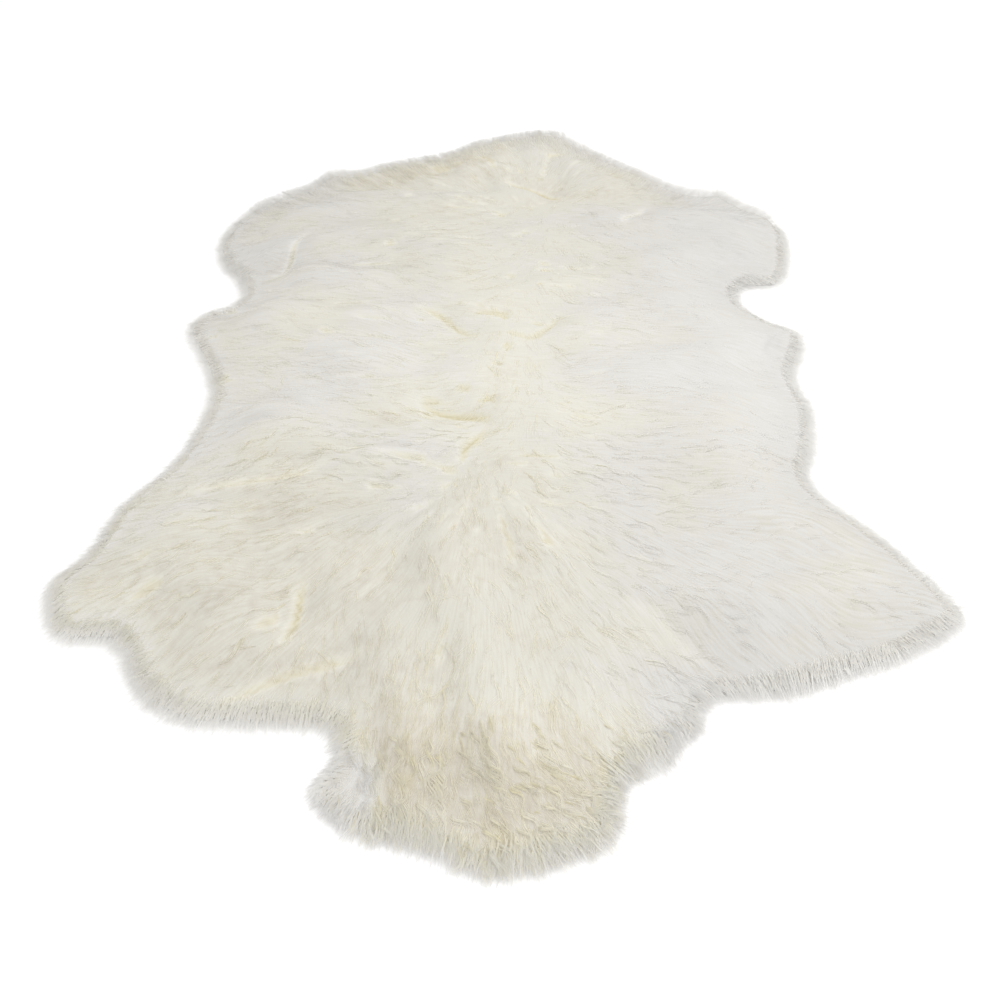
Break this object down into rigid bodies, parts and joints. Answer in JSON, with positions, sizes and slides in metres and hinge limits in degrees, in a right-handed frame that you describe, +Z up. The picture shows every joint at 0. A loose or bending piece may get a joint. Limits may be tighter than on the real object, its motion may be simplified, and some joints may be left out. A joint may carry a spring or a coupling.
{
  "type": "sheepskin rug",
  "caption": "Long-haired sheepskin rug lying flat, in the outline of a whole hide with legs and tail, with locks of wool round its rim.",
  "frame": {"origin": "middle of the rug's bounding box, on the floor under its flesh side", "axes": "+X across the hide, towards the right-hand legs as the picture shows them, +Y along the back towards the neck, +Z up out of the floor"},
  "size_m": [0.826, 1.2406, 0.0425],
  "materials": {
    "wool": "cream white natural wool, soft and slightly lustrous, yellower at its roots"
  },
  "bodies": {
    "root": {"fleece": "wool"}
  },
  "joints": []
}
